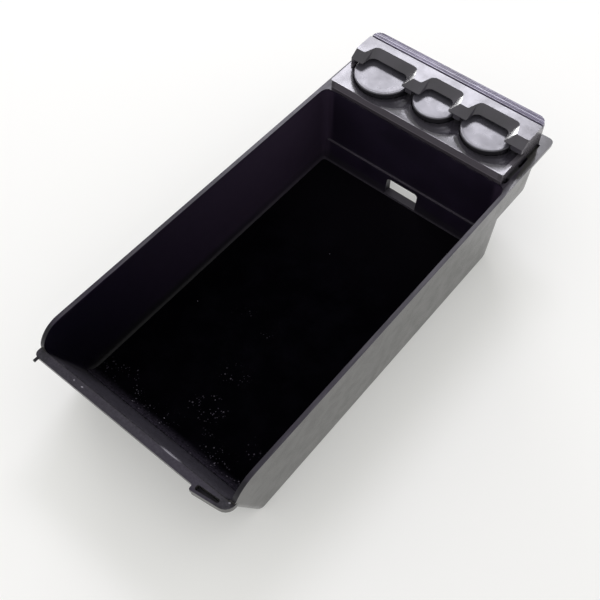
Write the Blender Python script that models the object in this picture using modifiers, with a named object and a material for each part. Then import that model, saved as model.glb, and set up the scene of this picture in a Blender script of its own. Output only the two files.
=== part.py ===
"""Car console tray with a coin holder that has three sprung coin stations.

Lengths are in metres. X runs to the right, Y to the rear and Z up. The origin lies on the table,
under the middle of the whole tray.
"""
import math

import bmesh
import bpy
from mathutils import Matrix, Vector

MM = 0.001

# Gaps and cuts
CLEARANCE = 0.3 * MM  # between pieces that touch on the real object
OVERRUN = 1.0 * MM  # how far a cutter reaches past what it cuts
MERGE_DISTANCE = 0.002 * MM  # corners this close are one corner
CORNER_STEPS = 5  # straight pieces in a rounded corner
ROUND_STEPS = 40  # straight pieces in a full circle
SMALL_ROUND_STEPS = 16  # the same for screw posts, holes and pegs

# Bin of the tray
SIDE_LEAN = 1.8 * MM  # each side wall stands this much further in at the table than at the rim
RIM_HEIGHT = 42.65 * MM
SIDE_WALL = 1.7 * MM
FLOOR = 1.4 * MM
FOOT_FRONT_Y = -85.8 * MM
FRONT_SLOPE_SHARE = 0.404  # run of the front wall for each unit of its height
FRONT_WALL = 1.5 * MM
FRONT_COVE = 7.0 * MM
REAR_WALL_BACK_Y = 69.8 * MM
REAR_WALL_TOP = 1.9 * MM
REAR_LEDGE_HEIGHT = 13.2 * MM
REAR_LEDGE_DEPTH = 0.7 * MM
REAR_LOWER_LEAN = 1.2 * MM
REAR_UPPER_LEAN = 0.4 * MM
FOOT_EDGE = 1.5 * MM
FRONT_CORNER = 3.0 * MM
REAR_CORNER = 6.0 * MM
INNER_EDGE = 1.8 * MM
RIM_SWEEP = 11.0 * MM  # radius of the rim where it comes down to the lip
RIM_SWEEP_START_Y = -87.3 * MM

# Lip, loop and nub at the front
LIP_HEIGHT = 34.0 * MM
LIP_THICKNESS = 1.7 * MM
LIP_REACH = 1.96 * MM  # how far the lip stands in front of the wall under it
LIP_END_CORNER = 2.2 * MM
LOOP_REACH = 2.1 * MM  # how far the loop stands in front of the lip
LOOP_WIDTH = 16.0 * MM
LOOP_CORNER = 4.5 * MM
LOOP_DEPTH = 4.2 * MM  # from the lip's top down to the loop's foot
LOOP_FLOOR = 1.0 * MM  # that closes the slot from below
LOOP_BAR = 1.1 * MM
LOOP_SLOT_WIDTH = 9.6 * MM
LOOP_SLOT_DEPTH = 2.3 * MM
LOOP_STEP_CORNER = 0.7 * MM
NUB_RADIUS = 0.6 * MM
NUB_INSET = 0.9 * MM
NUB_REACH = 1.6 * MM

# Window in the rear wall
WINDOW_CENTRE_X = -0.35 * MM
WINDOW_WIDTH = 16.6 * MM
WINDOW_TOP = 11.0 * MM
WINDOW_CORNER = 1.6 * MM

# Mat
MAT_THICKNESS = 0.7 * MM
MAT_CORNER = 5.5 * MM

# Pocket behind the bin, and the deck round it
POCKET_FLOOR = 1.6 * MM
POCKET_DEPTH = 20.8 * MM  # from the bin's rear wall to the back of the pocket
POCKET_WALL = 1.6 * MM
POCKET_FRONT_WALL = 1.4 * MM
DECK_THICKNESS = 1.6 * MM
DECK_SIDE_BAND = 3.4 * MM
DECK_REAR_BAND = 1.8 * MM
DECK_CORNER = 2.5 * MM
DECK_GROOVE_DEPTH = 1.0 * MM  # beside the holder, behind the deck's opening

# Coin plates, named after the coins they carry, from left to right
LARGE_COIN = 25.75 * MM
SMALL_COIN = 19.75 * MM
MEDIUM_COIN = 23.25 * MM
PLATE_NAMES = ("large", "small", "medium")
PLATE_MARGIN = 0.12 * MM  # a plate's radius beyond its coin's
PLATE_GAP = 4.4 * MM
PLATE_LEFT_MARGIN = 2.62 * MM  # from the holder's left side to the first plate
PLATE_RIGHT_MARGIN = 6.11 * MM  # from the last plate to the holder's right side
PLATE_ROW_SETBACK = 17.2 * MM  # from the holder's front face to the row of centres
PLATE_RIM_HEIGHT = 0.4 * MM  # top edge of a plate above the holder's base
PLATE_DISHING = 0.3 * MM
PLATE_EDGE = 0.8 * MM
PLATE_TOP = 2.1 * MM
FLANGE_REACH = 0.9 * MM
FLANGE_THICKNESS = 1.2 * MM
PLATE_TRAVEL = 11.0 * MM
PLATE_BOTTOM_GAP = 1.0 * MM  # left under a plate that is pressed right down

# Coin housing
HOLDER_REAR_CORNER = 4.0 * MM
HOLDER_FRONT_CORNER = 0.8 * MM
BASE_TOP_RISE = 5.95 * MM  # base of the holder above the rim of the tray
BASE_THICKNESS = 3.7 * MM
SKIRT_WALL = 1.7 * MM
SKIRT_END_GAP = 1.0 * MM  # from a side wall's ends to the pocket's front and rear
HOLDER_GAP = 0.4 * MM  # between the holder's back and the deck
HOLDER_SIDE_GAP = 1.1 * MM  # between the holder's sides and the deck
CUP_WALL = 1.1 * MM
CUP_BACK_MARGIN = 0.9 * MM  # from the largest cup to the holder's back
CUP_BAY_GAP = 0.5 * MM
DISH_DEPTH = 2.4 * MM
DISH_MARGIN = 6.1 * MM  # of a dish beyond its plate
DISH_FRONT_MARGIN = 0.2 * MM  # of the smallest dish beyond the holder's front edge
DISH_RUN = 10.0 * MM
DISH_SHIFT = 3.0 * MM  # to the right of the finger cut-outs
DISH_STEPS = 4
DISH_UNDER_ROOF = 2.5 * MM  # how far the dishes reach back under the roof
POST_RADIUS = 2.2 * MM
POST_OFFSET = 9.0 * MM  # in front of and behind the row of plates
HOOK_WIDTH = 8.0 * MM
HOOK_SETBACK = 7.0 * MM
HOOK_HEIGHT = 3.2 * MM
HOOK_WALL_GAP = 0.5 * MM

# Coin roof
ROOF_RISE = 5.5 * MM  # top of the roof above the base
ROOF_SLOPE_DROP = 2.8 * MM
ROOF_SLOPE_RUN = 3.9 * MM
ROOF_REACH = 3.4 * MM  # from the middle of the plates forward to the foot of the slope
CUT_DEPTH = 6.5 * MM
CUT_CORNER = 2.8 * MM
CUT_TAB = 3.75 * MM
CUT_LEFT_MARGIN = 4.4 * MM  # from the holder's left side to the first cut-out
CUT_SPLAY_TOP = 2.3 * MM
CUT_SPLAY_FOOT = 0.9 * MM
CUT_SLOPE_SIDE_RUN = 2.6 * MM
CUT_FOOT_SHIFT = 0.7 * MM  # of a cut-out's foot to the left of its top
TAB_CORNER = 0.8 * MM
COIN_SPACE = 1.9 * MM  # between a plate at rest and the roof over it
COIN_SIDE_GAP = 0.6 * MM

# Grip strip
STRIP_DEPTH = 4.5 * MM
STRIP_GROOVE = 0.9 * MM
STRIP_THICKNESS = 1.4 * MM
STRIP_SIDE_INSET = 0.4 * MM
RIDGE_COUNT = 6
RIDGE_HEIGHT = 0.25 * MM
RIDGE_TOP_SHARE = 0.62

# Cup cover, springs and screws
COVER_THICKNESS = 2.0 * MM
SPIGOT_HEIGHT = 2.5 * MM
SPRING_RADIUS_SHARE = 0.5  # of the plate's radius, to the middle of the wire
SPRING_WIRE = 0.7 * MM
SPRING_TURNS = 6
SPRING_CLOSED_TURNS = 1
SPRING_TURN_STEPS = 10
SCREW_RADIUS = 1.1 * MM
SCREW_HEAD_RADIUS = 2.0 * MM
SCREW_HEAD_HEIGHT = 1.0 * MM
SCREW_BITE = 8.0 * MM
THREAD_PITCH = 1.5 * MM
THREAD_DEPTH = 0.25 * MM
SCREW_STEPS = 10

# Places that follow from the sizes above
PLATE_RADII = [diameter / 2 + PLATE_MARGIN for diameter in (LARGE_COIN, SMALL_COIN, MEDIUM_COIN)]
PLATE_ROW = 2 * (sum(PLATE_RADII) + PLATE_GAP)
CUP_RADII = [radius + FLANGE_REACH + CLEARANCE + CUP_WALL for radius in PLATE_RADII]
HOLDER_HALF_WIDTH = (PLATE_LEFT_MARGIN + PLATE_ROW + PLATE_RIGHT_MARGIN) / 2
RIM_HALF_WIDTH = HOLDER_HALF_WIDTH + HOLDER_SIDE_GAP + DECK_SIDE_BAND
LIP_FRONT_Y = FOOT_FRONT_Y - FRONT_SLOPE_SHARE * LIP_HEIGHT - LIP_REACH
LOOP_LEFT_X = RIM_HALF_WIDTH - LOOP_WIDTH
POCKET_BACK_Y = REAR_WALL_BACK_Y + POCKET_DEPTH
HOLDER_FRONT_Y = REAR_WALL_BACK_Y - REAR_WALL_TOP
PLATE_Y = HOLDER_FRONT_Y + PLATE_ROW_SETBACK
HOLDER_BACK_Y = PLATE_Y + max(CUP_RADII) + CUP_BACK_MARGIN
DECK_BACK_Y = HOLDER_BACK_Y + HOLDER_GAP + DECK_REAR_BAND
BASE_TOP = RIM_HEIGHT + BASE_TOP_RISE
BASE_UNDERSIDE = BASE_TOP - BASE_THICKNESS
SKIRT_FOOT = RIM_HEIGHT + CLEARANCE
PLATE_HEIGHT = BASE_TOP + PLATE_RIM_HEIGHT
PLATE_SEAT = PLATE_HEIGHT - PLATE_DISHING - PLATE_TOP  # where the spring bears under the plate
FLANGE_TOP = BASE_UNDERSIDE - CLEARANCE
FLANGE_FOOT = FLANGE_TOP - FLANGE_THICKNESS
COVER_TOP = FLANGE_FOOT - PLATE_TRAVEL - PLATE_BOTTOM_GAP
COVER_FOOT = COVER_TOP - COVER_THICKNESS
CUP_FOOT = COVER_TOP + CLEARANCE
POCKET_UNDERSIDE = COVER_FOOT - CLEARANCE - POCKET_FLOOR
ROOF_FOOT = BASE_TOP + CLEARANCE
ROOF_TOP = BASE_TOP + ROOF_RISE
ROOF_UNDERSIDE = PLATE_HEIGHT + COIN_SPACE
STRIP_LEDGE = ROOF_TOP - STRIP_THICKNESS - CLEARANCE
STRIP_FRONT_Y = HOLDER_BACK_Y - STRIP_DEPTH
PILOT_RADIUS = SCREW_RADIUS + CLEARANCE


def row_centres(left_margin, gap):
    """X of the middle of each plate, or of what goes with it, in a row from the holder's left side."""
    left = left_margin - HOLDER_HALF_WIDTH
    centres = []
    for radius in PLATE_RADII:
        centres.append(left + radius)
        left += 2 * radius + gap
    return centres


PLATE_X = row_centres(PLATE_LEFT_MARGIN, PLATE_GAP)
CUT_X = row_centres(CUT_LEFT_MARGIN, CUT_TAB)
SPRING_RADII = [radius * SPRING_RADIUS_SHARE for radius in PLATE_RADII]


def clear_scene():
    for obj in list(bpy.data.objects):
        bpy.data.objects.remove(obj, do_unlink=True)


def new_collection(name):
    collection = bpy.data.collections.new(name)
    bpy.context.scene.collection.children.link(collection)
    return collection


def plastic(name, colour, roughness, metallic=0.0):
    material = bpy.data.materials.new(name)
    material.use_nodes = True
    shader = material.node_tree.nodes["Principled BSDF"]
    shader.inputs["Base Color"].default_value = (*colour, 1.0)
    shader.inputs["Roughness"].default_value = roughness
    shader.inputs["Metallic"].default_value = metallic
    return material


def arc(centre, radius, start, end, steps):
    """Points of an arc in a plane, from one angle to another in degrees."""
    points = []
    for step in range(steps + 1):
        angle = math.radians(start + (end - start) * step / steps)
        points.append(Vector((centre[0] + radius * math.cos(angle), centre[1] + radius * math.sin(angle))))
    return points


def rounded(corners):
    """Outline through corners given as (x, y, radius)."""
    points = []
    for index, (x, y, radius) in enumerate(corners):
        here = Vector((x, y))
        if radius == 0:
            points.append(here)
            continue
        before = (Vector(corners[index - 1][:2]) - here).normalized()
        after = (Vector(corners[(index + 1) % len(corners)][:2]) - here).normalized()
        half = before.angle(after) / 2
        centre = here + (before + after).normalized() * radius / math.sin(half)
        start = here + before * radius / math.tan(half) - centre
        end = here + after * radius / math.tan(half) - centre
        first = math.degrees(math.atan2(start.y, start.x))
        turn = (math.degrees(math.atan2(end.y, end.x)) - first + 180) % 360 - 180
        points += arc(centre, radius, first, first + turn, CORNER_STEPS)
    return points


def box_outline(left, right, front, back, front_corner=0, back_corner=0):
    return rounded([(left, front, front_corner), (right, front, front_corner),
                    (right, back, back_corner), (left, back, back_corner)])


def finished(name, mesh, collection, smooth_angle=35):
    """Put a mesh into the scene with its faces pointing out and its round faces smooth."""
    edit = bmesh.new()
    edit.from_mesh(mesh)
    bmesh.ops.remove_doubles(edit, verts=edit.verts, dist=MERGE_DISTANCE)
    bmesh.ops.recalc_face_normals(edit, faces=edit.faces)
    edit.to_mesh(mesh)
    edit.free()
    mesh.shade_smooth()
    mesh.set_sharp_from_angle(angle=math.radians(smooth_angle))
    obj = bpy.data.objects.new(name, mesh)
    collection.objects.link(obj)
    return obj


def mesh_of(source):
    """A plain mesh of what a curve or a modified object shows, with the source removed."""
    bpy.context.view_layer.update()
    graph = bpy.context.evaluated_depsgraph_get()
    mesh = bpy.data.meshes.new_from_object(source.evaluated_get(graph))
    mesh.transform(source.matrix_world)
    bpy.data.objects.remove(source, do_unlink=True)
    return mesh


PLANES = {
    "XY": Matrix.Identity(4),
    "YZ": Matrix(((0, 0, 1, 0), (1, 0, 0, 0), (0, 1, 0, 0), (0, 0, 0, 1))),
    "XZ": Matrix(((1, 0, 0, 0), (0, 0, -1, 0), (0, 1, 0, 0), (0, 0, 0, 1))),
}


def slab(name, outline, low, high, collection, plane="XY"):
    """A flat outline drawn in a plane and thickened from low to high across that plane."""
    curve = bpy.data.curves.new(name, "CURVE")
    curve.dimensions = "2D"
    curve.fill_mode = "BOTH"
    curve.extrude = (high - low) / 2
    spline = curve.splines.new("POLY")
    spline.points.add(len(outline) - 1)
    spline.use_cyclic_u = True
    for point, place in zip(spline.points, outline):
        point.co = (place[0], place[1], 0, 1)
    obj = bpy.data.objects.new(name, curve)
    collection.objects.link(obj)
    middle = (low + high) / 2
    if plane == "XZ":
        middle = -middle
    obj.matrix_world = PLANES[plane] @ Matrix.Translation((0, 0, middle))
    mesh = mesh_of(obj)
    across = {"XY": 2, "YZ": 0, "XZ": 1}[plane]
    for vertex in mesh.vertices:
        vertex.co[across] = low if vertex.co[across] < (low + high) / 2 else high
    edit = bmesh.new()
    edit.from_mesh(mesh)
    bmesh.ops.remove_doubles(edit, verts=edit.verts, dist=MERGE_DISTANCE)
    bmesh.ops.dissolve_limit(edit, angle_limit=math.radians(0.1), verts=edit.verts, edges=edit.edges)
    edit.to_mesh(mesh)
    edit.free()
    return finished(name, mesh, collection)


def rod(name, centre, radius, low, high, collection, steps=SMALL_ROUND_STEPS):
    """An upright cylinder."""
    mesh = bpy.data.meshes.new(name)
    edit = bmesh.new()
    place = Matrix.Translation((centre[0], centre[1], (low + high) / 2))
    bmesh.ops.create_cone(edit, cap_ends=True, segments=steps, radius1=radius, radius2=radius,
                          depth=high - low, matrix=place)
    edit.to_mesh(mesh)
    edit.free()
    return finished(name, mesh, collection)


def turned(name, profile, centre, collection, steps=ROUND_STEPS):
    """A profile of (radius, height) points, from the axis at the top to the axis at the foot, turned.

    The object's origin lies on its axis.
    """
    mesh = bpy.data.meshes.new(name)
    edges = [(index, index + 1) for index in range(len(profile) - 1)]
    mesh.from_pydata([(radius, 0, height) for radius, height in profile], edges, [])
    obj = bpy.data.objects.new(name, mesh)
    collection.objects.link(obj)
    spin = obj.modifiers.new("turn", "SCREW")
    spin.steps = steps
    spin.render_steps = steps
    spin.use_merge_vertices = True
    spin.merge_threshold = MERGE_DISTANCE
    result = finished(name, mesh_of(obj), collection)
    result.location = (centre[0], centre[1], 0)
    return result


def boolean(target, tool, operation):
    """Cut or join with a tool that stays in the file as a hidden guide."""
    tool.hide_render = True
    tool.display_type = "WIRE"
    step = target.modifiers.new(tool.name, "BOOLEAN")
    step.operation = operation
    step.solver = "EXACT"
    step.object = tool


def lean_in(obj):
    """Lean the sides in towards the table, as the walls of the bin do."""
    for vertex in obj.data.vertices:
        inward = SIDE_LEAN * (RIM_HEIGHT - vertex.co.z) / RIM_HEIGHT
        vertex.co.x -= math.copysign(inward, vertex.co.x)


def round_edges(obj, radius_of):
    """Round each edge by the radius that a function of its two ends gives."""
    edit = bmesh.new()
    edit.from_mesh(obj.data)
    weight = edit.edges.layers.float.new("bevel_weight_edge")
    radii = {edge: radius_of(edge.verts[0].co, edge.verts[1].co) for edge in edit.edges}
    largest = max(radii.values())
    for edge, radius in radii.items():
        edge[weight] = radius / largest
    edit.to_mesh(obj.data)
    edit.free()
    bevel = obj.modifiers.new("rounded edges", "BEVEL")
    bevel.width = largest
    bevel.segments = CORNER_STEPS
    bevel.limit_method = "WEIGHT"


def front_outer(height):
    """Y of the front wall's outer face."""
    return FOOT_FRONT_Y - FRONT_SLOPE_SHARE * height


def front_inner(height):
    """Y of the front wall's inner face."""
    return front_outer(height) + FRONT_WALL * math.hypot(1, FRONT_SLOPE_SHARE)


def bin_block(guides):
    """Outside of the bin with upright sides, without the lip."""
    outline = box_outline(-RIM_HALF_WIDTH, RIM_HALF_WIDTH, FOOT_FRONT_Y, REAR_WALL_BACK_Y,
                          FRONT_CORNER, REAR_CORNER)
    block = slab("tray_outside", outline, 0, RIM_HEIGHT, guides)
    for vertex in block.data.vertices:
        if vertex.co.y < 0:
            vertex.co.y -= FRONT_SLOPE_SHARE * vertex.co.z
    round_edges(block, lambda first, second: FOOT_EDGE if max(first.z, second.z) < FLOOR else 0)
    sweep_centre = (RIM_SWEEP_START_Y, RIM_HEIGHT - RIM_SWEEP)
    lip_angle = 180 - math.degrees(math.asin((LIP_HEIGHT - sweep_centre[1]) / RIM_SWEEP))
    front = front_outer(RIM_HEIGHT) - OVERRUN
    outline = arc(sweep_centre, RIM_SWEEP, 90, lip_angle, 2 * CORNER_STEPS)
    outline += [Vector((front, LIP_HEIGHT)), Vector((front, RIM_HEIGHT + OVERRUN))]
    outline += [Vector((RIM_SWEEP_START_Y, RIM_HEIGHT + OVERRUN))]
    reach = RIM_HALF_WIDTH + OVERRUN
    boolean(block, slab("rim_sweep_cut", outline, -reach, reach, guides, "YZ"), "DIFFERENCE")
    return block


def bay_outline(extra, front_y):
    """Outline round the outer cups, open to the front with straight sides."""
    left = arc((PLATE_X[0], PLATE_Y), CUP_RADII[0] + extra, 90, 180, 2 * CORNER_STEPS)
    right = arc((PLATE_X[2], PLATE_Y), CUP_RADII[2] + extra, 0, 90, 2 * CORNER_STEPS)
    corners = [Vector((left[-1].x, front_y)), Vector((right[0].x, front_y))]
    return corners + right + left


def lip(guides):
    """Turned-out lip with the latch loop at its right end."""
    side = RIM_HALF_WIDTH
    root = front_inner(LIP_HEIGHT - LIP_THICKNESS) + SIDE_WALL
    outline = rounded([
        (-side, root, 0),
        (-side, LIP_FRONT_Y, LIP_END_CORNER),
        (LOOP_LEFT_X, LIP_FRONT_Y, LOOP_STEP_CORNER),
        (LOOP_LEFT_X, LIP_FRONT_Y - LOOP_REACH, LOOP_STEP_CORNER),
        (side, LIP_FRONT_Y, LOOP_CORNER),
        (side, root, 0),
    ])
    return slab("lip_plate", outline, LIP_HEIGHT - LIP_THICKNESS, LIP_HEIGHT, guides)


def loop_block(guides):
    """Body of the loop under the lip's plate, a little back from the plate's edge."""
    root = front_inner(LIP_HEIGHT - LIP_THICKNESS) + SIDE_WALL
    left = LOOP_LEFT_X + CLEARANCE
    right = RIM_HALF_WIDTH - CLEARANCE
    outline = rounded([
        (left, LIP_FRONT_Y - LOOP_REACH + CLEARANCE, LOOP_STEP_CORNER),
        (right, LIP_FRONT_Y + CLEARANCE, LOOP_CORNER),
        (right, root, 0),
        (left, root, 0),
    ])
    top = LIP_HEIGHT - LIP_THICKNESS / 2
    return slab("loop_block", outline, LIP_HEIGHT - LOOP_DEPTH, top, guides)


def loop_slot(guides):
    """Slot behind the bar of the loop, in line with that bar and closed below."""
    side = RIM_HALF_WIDTH - SIDE_LEAN * (RIM_HEIGHT - LIP_HEIGHT) / RIM_HEIGHT
    fall = LOOP_REACH / (side - LOOP_LEFT_X)
    left = LOOP_LEFT_X + LOOP_BAR
    right = left + LOOP_SLOT_WIDTH
    front = LIP_FRONT_Y - LOOP_REACH + LOOP_BAR
    outline = rounded([
        (left, front + fall * LOOP_BAR, LOOP_STEP_CORNER),
        (right, front + fall * (LOOP_BAR + LOOP_SLOT_WIDTH), LOOP_STEP_CORNER),
        (right, front + LOOP_SLOT_DEPTH + fall * LOOP_SLOT_WIDTH / 2, LOOP_STEP_CORNER),
        (left, front + LOOP_SLOT_DEPTH, LOOP_STEP_CORNER),
    ])
    floor = LIP_HEIGHT - LOOP_DEPTH + LOOP_FLOOR
    return slab("loop_slot_cut", outline, floor, LIP_HEIGHT + OVERRUN, guides)


def nub(guides):
    """Small locating nub under the left end of the lip, pointing to the front."""
    side = RIM_HALF_WIDTH - SIDE_LEAN * (RIM_HEIGHT - LIP_HEIGHT) / RIM_HEIGHT
    centre = (-side + NUB_INSET, LIP_HEIGHT - LIP_THICKNESS)
    outline = arc(centre, NUB_RADIUS, 0, 360, SMALL_ROUND_STEPS)[:-1]
    front = LIP_FRONT_Y - NUB_REACH
    return slab("nub", outline, front, front_outer(LIP_HEIGHT), guides, "XZ")


def bin_cavity(guides):
    """Inside of the bin: sloping front, coved foot and rear wall."""
    top = RIM_HEIGHT + OVERRUN
    profile = rounded([
        (front_inner(FLOOR), FLOOR, FRONT_COVE),
        (HOLDER_FRONT_Y - REAR_UPPER_LEAN, FLOOR, 0),
        (HOLDER_FRONT_Y, top, 0),
        (front_inner(top), top, 0),
    ])
    half = RIM_HALF_WIDTH - SIDE_WALL
    cavity = slab("bin_cavity_cut", profile, -half, half, guides, "YZ")
    lean_in(cavity)

    def radius_of(first, second):
        if first.x * second.x < 0 or min(first.z, second.z) > RIM_HEIGHT:
            return 0
        return REAR_CORNER - SIDE_WALL if min(first.y, second.y) > 0 else INNER_EDGE

    round_edges(cavity, radius_of)
    return cavity


def rear_band(guides):
    """Thicker band low in the rear wall, whose top is the small ledge."""
    ledge = HOLDER_FRONT_Y - REAR_UPPER_LEAN - REAR_LEDGE_DEPTH
    back = REAR_WALL_BACK_Y - REAR_WALL_TOP / 2
    front_half = RIM_HALF_WIDTH - REAR_CORNER / 2
    back_half = RIM_HALF_WIDTH - REAR_CORNER
    outline = [Vector((-front_half, ledge)), Vector((front_half, ledge)), Vector((back_half, back)),
               Vector((-back_half, back))]
    band = slab("rear_band", outline, FLOOR / 2, REAR_LEDGE_HEIGHT, guides)
    lean_in(band)
    for vertex in band.data.vertices:
        if vertex.co.z < FLOOR and vertex.co.y < HOLDER_FRONT_Y - REAR_UPPER_LEAN:
            vertex.co.y -= REAR_LOWER_LEAN
    return band


def window(guides):
    """Window low in the rear wall."""
    sill = FLOOR + CLEARANCE
    outline = rounded([
        (WINDOW_CENTRE_X - WINDOW_WIDTH / 2, sill, 0),
        (WINDOW_CENTRE_X + WINDOW_WIDTH / 2, sill, 0),
        (WINDOW_CENTRE_X + WINDOW_WIDTH / 2, WINDOW_TOP, WINDOW_CORNER),
        (WINDOW_CENTRE_X - WINDOW_WIDTH / 2, WINDOW_TOP, WINDOW_CORNER),
    ])
    front = HOLDER_FRONT_Y - REAR_CORNER
    return slab("window_cut", outline, front, REAR_WALL_BACK_Y + OVERRUN, guides, "XZ")


def deck_grooves(guides):
    """Grooves in the deck that carry on the gap at the holder's two sides."""
    grooves = []
    front = POCKET_BACK_Y - POCKET_WALL - OVERRUN
    back = HOLDER_BACK_Y - HOLDER_REAR_CORNER
    for side, word in ((-1, "left"), (1, "right")):
        left, right = sorted((side * (HOLDER_HALF_WIDTH - HOLDER_GAP),
                              side * (HOLDER_HALF_WIDTH + HOLDER_SIDE_GAP)))
        outline = box_outline(left, right, front, back)
        grooves.append(slab("deck_groove_cut_" + word, outline, RIM_HEIGHT - DECK_GROOVE_DEPTH,
                            RIM_HEIGHT + OVERRUN, guides))
    return grooves


def tray_outside(guides):
    """Outside of the bin, the pocket, the deck and the lip in one, with upright sides."""
    outside = bin_block(guides)
    half = RIM_HALF_WIDTH
    start = HOLDER_FRONT_Y - REAR_CORNER
    outline = box_outline(-half, half, start, POCKET_BACK_Y, 0, REAR_CORNER)
    boolean(outside, slab("pocket_block", outline, POCKET_UNDERSIDE, RIM_HEIGHT, guides), "UNION")
    outline = box_outline(-half, half, start - REAR_CORNER, DECK_BACK_Y, 0, DECK_CORNER)
    deck = slab("deck_block", outline, RIM_HEIGHT - DECK_THICKNESS, RIM_HEIGHT, guides)
    boolean(outside, deck, "UNION")
    boolean(outside, lip(guides), "UNION")
    boolean(outside, loop_block(guides), "UNION")
    boolean(outside, nub(guides), "UNION")
    return outside


def tray_shell(collection, guides):
    shell = finished("tray_shell", mesh_of(tray_outside(guides)), collection)
    lean_in(shell)
    bay = slab("bay_block", bay_outline(CUP_BAY_GAP + POCKET_WALL, PLATE_Y - POST_OFFSET),
               POCKET_UNDERSIDE, RIM_HEIGHT - DECK_THICKNESS / 2, guides)
    boolean(shell, bay, "UNION")
    boolean(shell, bin_cavity(guides), "DIFFERENCE")
    boolean(shell, rear_band(guides), "UNION")
    half = RIM_HALF_WIDTH - SIDE_WALL
    front = REAR_WALL_BACK_Y - REAR_WALL_TOP + POCKET_FRONT_WALL
    inner_floor = POCKET_UNDERSIDE + POCKET_FLOOR
    outline = box_outline(-half, half, front, POCKET_BACK_Y - POCKET_WALL, INNER_EDGE,
                          REAR_CORNER - POCKET_WALL)
    cavity = slab("pocket_cut", outline, inner_floor, RIM_HEIGHT - DECK_THICKNESS, guides)
    lean_in(cavity)
    boolean(shell, cavity, "DIFFERENCE")
    cavity = slab("bay_cut", bay_outline(CUP_BAY_GAP, PLATE_Y - POST_OFFSET), inner_floor,
                  RIM_HEIGHT + OVERRUN, guides)
    boolean(shell, cavity, "DIFFERENCE")
    half = RIM_HALF_WIDTH - DECK_SIDE_BAND
    outline = box_outline(-half, half, front, POCKET_BACK_Y - POCKET_WALL, INNER_EDGE, INNER_EDGE)
    opening = slab("deck_opening_cut", outline, RIM_HEIGHT - DECK_THICKNESS - OVERRUN,
                   RIM_HEIGHT + OVERRUN, guides)
    boolean(shell, opening, "DIFFERENCE")
    for groove in deck_grooves(guides):
        boolean(shell, groove, "DIFFERENCE")
    boolean(shell, window(guides), "DIFFERENCE")
    boolean(shell, loop_slot(guides), "DIFFERENCE")
    return shell


def floor_mat(collection):
    """Thin mat that lies loose on the floor of the bin."""
    half = RIM_HALF_WIDTH - SIDE_WALL - SIDE_LEAN - INNER_EDGE / 2 - CLEARANCE
    cove = FRONT_COVE * (math.hypot(1, FRONT_SLOPE_SHARE) - FRONT_SLOPE_SHARE)
    front = front_inner(FLOOR) + cove + CLEARANCE
    back = HOLDER_FRONT_Y - REAR_UPPER_LEAN - REAR_LEDGE_DEPTH - REAR_LOWER_LEAN
    back -= INNER_EDGE / 2 + CLEARANCE
    outline = box_outline(-half, half, front, back, MAT_CORNER, INNER_EDGE)
    low = FLOOR + CLEARANCE
    return slab("floor_mat", outline, low, low + MAT_THICKNESS, collection)


def holder_outline(inset):
    half = HOLDER_HALF_WIDTH - inset
    front_corner = max(HOLDER_FRONT_CORNER - inset, 0)
    return box_outline(-half, half, HOLDER_FRONT_Y + inset, HOLDER_BACK_Y - inset,
                       front_corner, HOLDER_REAR_CORNER - inset)


def post_places(offset):
    """Middles of the two screw posts at one distance behind the row of plates."""
    return [(PLATE_X[left] + PLATE_RADII[left] + PLATE_GAP / 2, PLATE_Y + offset) for left in range(2)]


def dish_profile(radius):
    """Shallow dish, as a cutter: crisp at its edge and flat in the middle."""
    bottom = BASE_TOP - DISH_DEPTH
    points = [(0, BASE_TOP + OVERRUN), (radius, BASE_TOP + OVERRUN)]
    for step in range(DISH_STEPS, -1, -1):
        share = step / DISH_STEPS
        points.append((radius - DISH_RUN * (1 - share), bottom + DISH_DEPTH * share ** 2))
    return points + [(0, bottom)]


def side_skirts(guides):
    """Side walls of the housing where they reach down through the deck's opening."""
    skirts = []
    front = REAR_WALL_BACK_Y - REAR_WALL_TOP + POCKET_FRONT_WALL + SKIRT_END_GAP
    back = POCKET_BACK_Y - POCKET_WALL - SKIRT_END_GAP
    foot = RIM_HEIGHT - DECK_THICKNESS - CLEARANCE - HOOK_HEIGHT - SKIRT_WALL
    for side, word in ((-1, "left"), (1, "right")):
        left, right = sorted((side * (HOLDER_HALF_WIDTH - SKIRT_WALL), side * HOLDER_HALF_WIDTH))
        outline = box_outline(left, right, front, back)
        skirts.append(slab("skirt_" + word, outline, foot, BASE_UNDERSIDE + OVERRUN, guides))
    return skirts


def snap_hooks(guides):
    """Barbs on the two side walls that catch under the deck of the tray."""
    hooks = []
    top = RIM_HEIGHT - DECK_THICKNESS - CLEARANCE
    tip = RIM_HALF_WIDTH - SIDE_WALL - HOOK_WALL_GAP
    inner = HOLDER_HALF_WIDTH - SKIRT_WALL / 2
    front = HOLDER_FRONT_Y + HOOK_SETBACK
    for side, word in ((-1, "left"), (1, "right")):
        outline = [(inner, top), (tip, top), (HOLDER_HALF_WIDTH, top - HOOK_HEIGHT),
                   (inner, top - HOOK_HEIGHT)]
        outline = [Vector((side * x, z)) for x, z in outline]
        hooks.append(slab("hook_" + word, outline, front, front + HOOK_WIDTH, guides, "XZ"))
    return hooks


def flat_rear(name, guides):
    """Block that keeps a dish out of the base under the rear of the roof."""
    reach = 2 * HOLDER_HALF_WIDTH
    front = PLATE_Y - ROOF_REACH + DISH_UNDER_ROOF
    outline = box_outline(-reach, reach, front, HOLDER_BACK_Y + reach)
    return slab(name, outline, BASE_UNDERSIDE - OVERRUN, BASE_TOP + 2 * OVERRUN, guides)


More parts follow.
